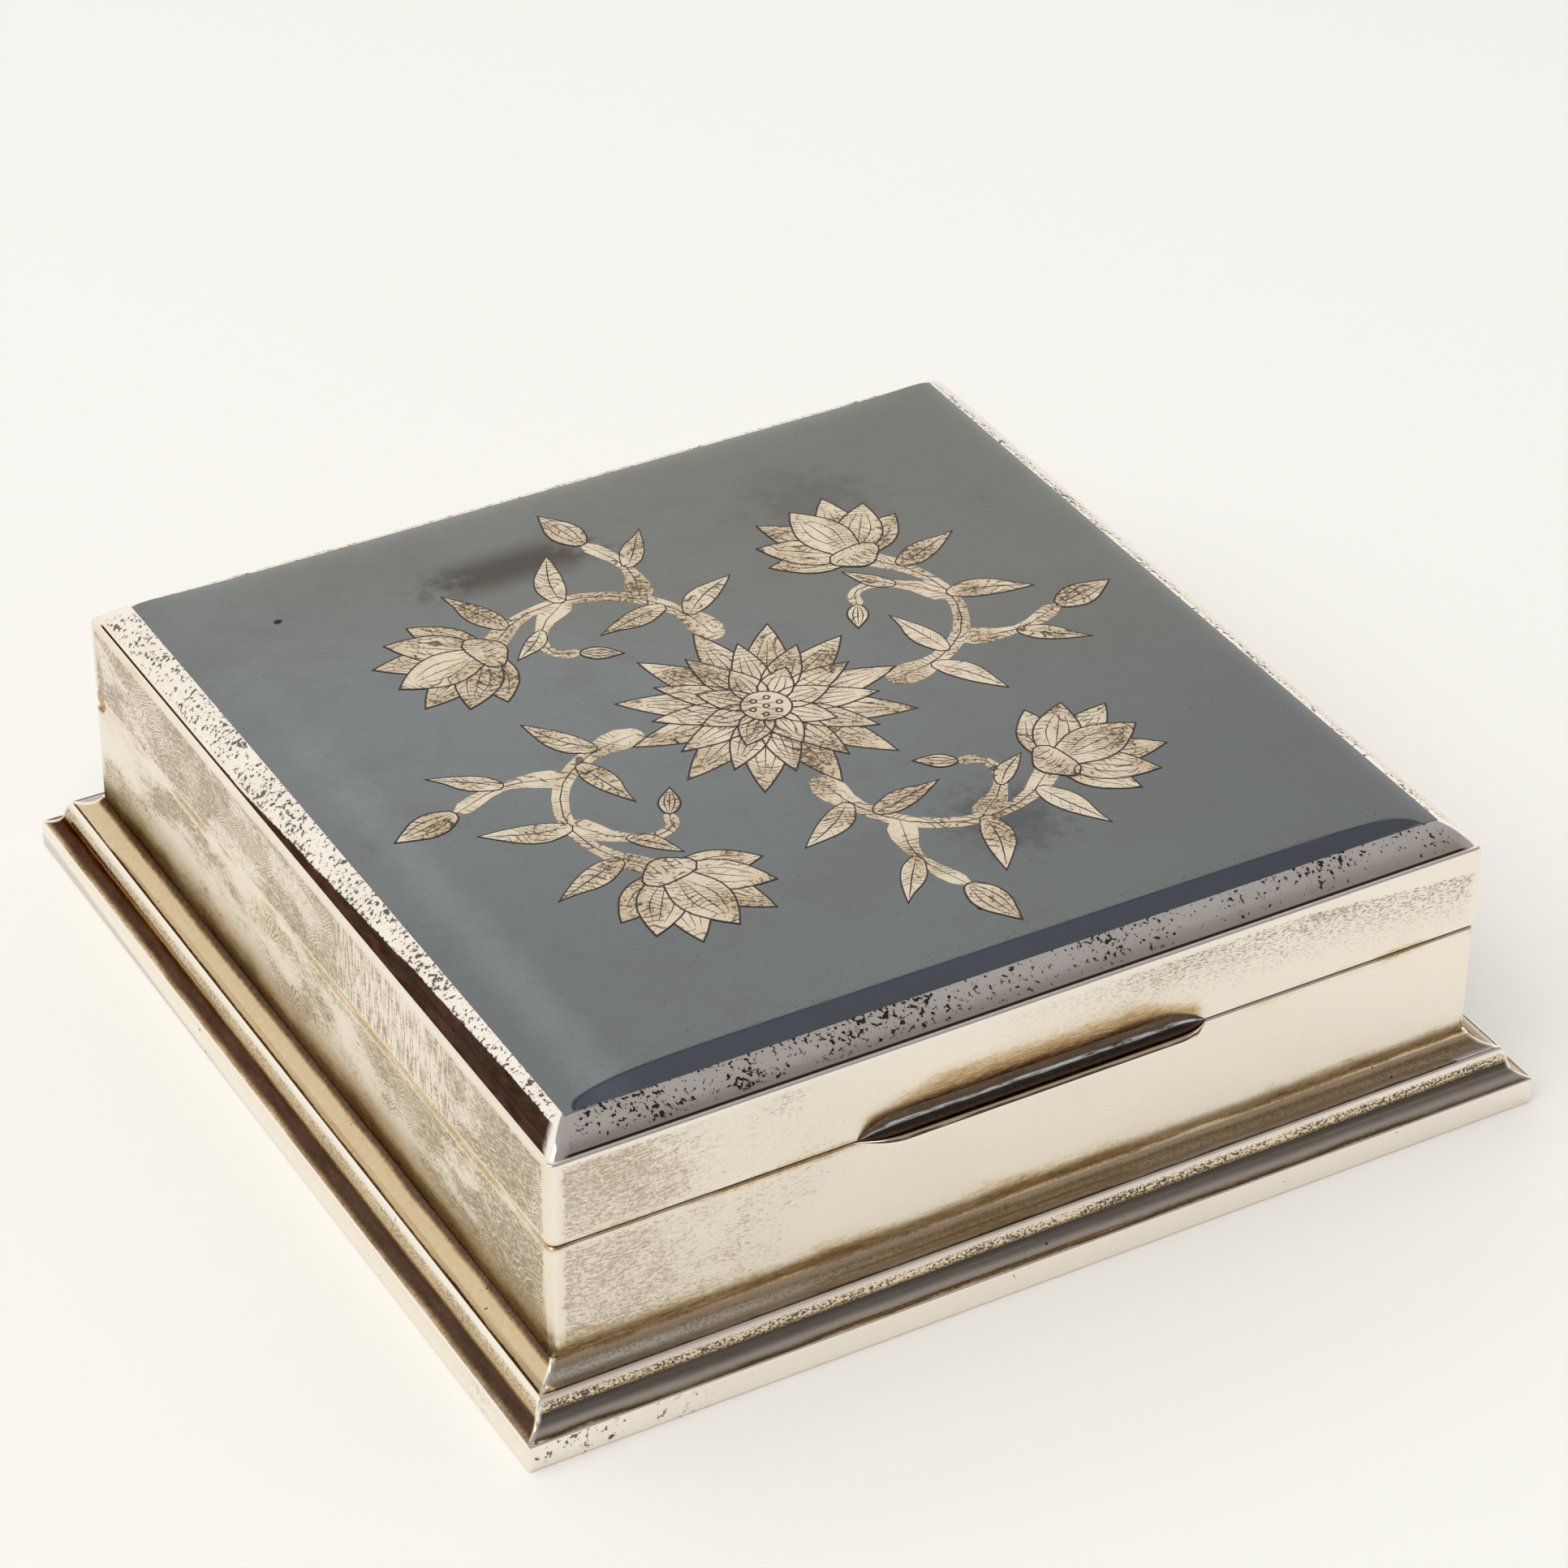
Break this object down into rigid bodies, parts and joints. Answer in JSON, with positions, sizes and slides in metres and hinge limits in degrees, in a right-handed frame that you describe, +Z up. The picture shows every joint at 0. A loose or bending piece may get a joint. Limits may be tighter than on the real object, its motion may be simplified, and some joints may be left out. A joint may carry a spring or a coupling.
{
  "type": "hinged table box",
  "caption": "Square silver table box with a stepped base moulding, cedar lining and a hinged lid with a thumbpiece and a flush niello panel.",
  "frame": {"origin": "centre of the footprint, on the table under the base moulding", "axes": "+X to the right and +Y to the back as seen from the thumbpiece side, +Z up"},
  "size_m": [0.099, 0.099, 0.0288],
  "materials": {
    "silver": "polished silver, rubbed and tarnished in the recesses",
    "niello": "polished slate-grey niello",
    "cedar": "planed cedar, unvarnished",
    "brass": "dull brass"
  },
  "bodies": {
    "box": {"base_moulding_front": "silver", "base_moulding_back": "silver", "base_moulding_left": "silver", "base_moulding_right": "silver", "body_wall_front": "silver", "body_wall_back": "silver", "body_wall_left": "silver", "body_wall_right": "silver", "bottom_plate": "silver", "hinge_leaf_body": "silver", "lining_floor": "cedar", "lining_front": "cedar", "lining_back": "cedar", "lining_left": "cedar", "lining_right": "cedar", "hinge_pin": "brass"},
    "lid": {"lid_wall_front": "silver", "lid_wall_back": "silver", "lid_wall_left": "silver", "lid_wall_right": "silver", "lid_top": "silver", "hinge_leaf_lid": "silver", "thumbpiece": "silver", "niello_panel": "niello", "lid_lining": "cedar"}
  },
  "joints": [
    {"name": "lid_hinge", "type": "hinge", "parent": "box", "child": "lid", "pos_m": [0, 0.04375, 0.018], "axis": [-1, 0, 0], "range_deg": [0, 100]}
  ]
}
